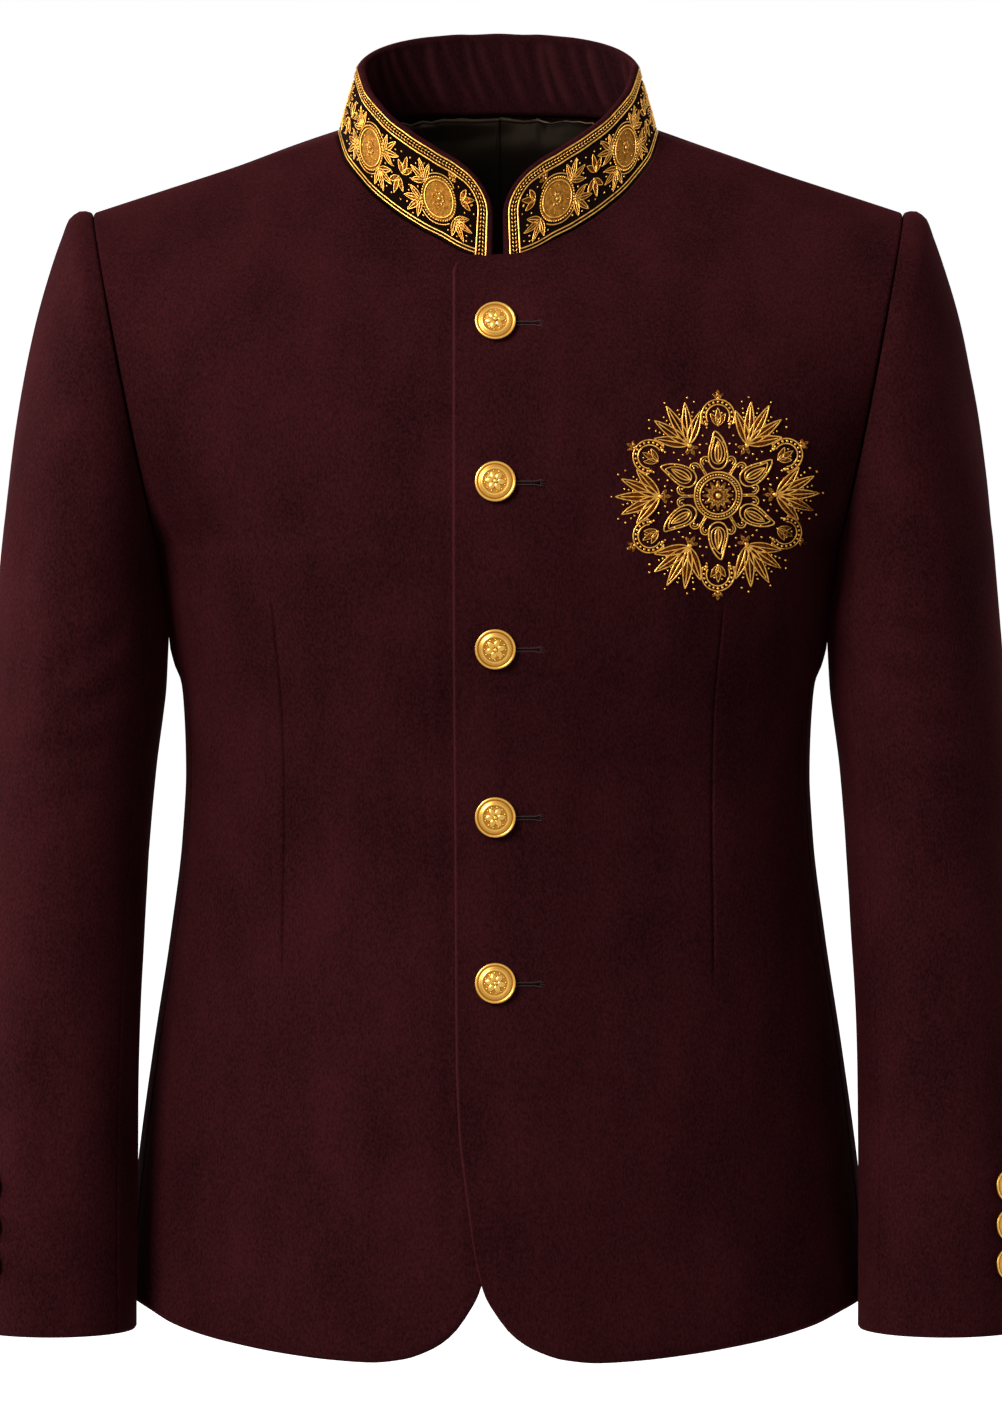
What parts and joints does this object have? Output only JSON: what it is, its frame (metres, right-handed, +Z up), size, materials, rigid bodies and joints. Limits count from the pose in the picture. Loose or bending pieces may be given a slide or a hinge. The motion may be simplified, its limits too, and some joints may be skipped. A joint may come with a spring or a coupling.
{
  "type": "bandhgala jacket",
  "caption": "Short stand-collar bandhgala jacket, filled out and hollow, with gold embroidered collar and chest motif, button front, rounded front hem and cuff buttons.",
  "frame": {"origin": "centre of the neck opening, level with the shoulder points at the collar", "axes": "+Z up towards the collar, -Y the front with the buttons, +X the wearer's left"},
  "size_m": [0.6042, 0.2629, 0.7487],
  "materials": {
    "maroon_suiting": "fine napped wool suiting, soft dark sheen",
    "black_satin": "black satin lining",
    "gold_thread": "metal-wrapped embroidery thread",
    "gold_button": "polished gold-coloured metal, raised rim"
  },
  "bodies": {
    "root": {"front_left": "maroon_suiting", "front_right": "maroon_suiting", "side_left": "maroon_suiting", "side_right": "maroon_suiting", "back_left": "maroon_suiting", "back_right": "maroon_suiting", "sleeve_top_left": "maroon_suiting", "sleeve_top_right": "maroon_suiting", "sleeve_under_left": "maroon_suiting", "sleeve_under_right": "maroon_suiting", "collar_outer": "maroon_suiting", "collar_facing": "maroon_suiting", "lining_back": "black_satin", "collar_braid_rim": "gold_thread", "collar_braid_base": "gold_thread", "collar_disc_1": "gold_thread", "collar_disc_2": "gold_thread", "collar_disc_3": "gold_thread", "collar_disc_4": "gold_thread", "collar_disc_5": "gold_thread", "collar_disc_6": "gold_thread", "collar_disc_7": "gold_thread", "collar_disc_8": "gold_thread", "collar_disc_9": "gold_thread", "chest_embroidery": "gold_thread", "button_1": "gold_button", "button_2": "gold_button", "button_3": "gold_button", "button_4": "gold_button", "button_5": "gold_button", "cuff_button_left_1": "gold_button", "cuff_button_left_2": "gold_button", "cuff_button_left_3": "gold_button", "cuff_button_right_1": "gold_button", "cuff_button_right_2": "gold_button", "cuff_button_right_3": "gold_button"}
  },
  "joints": []
}
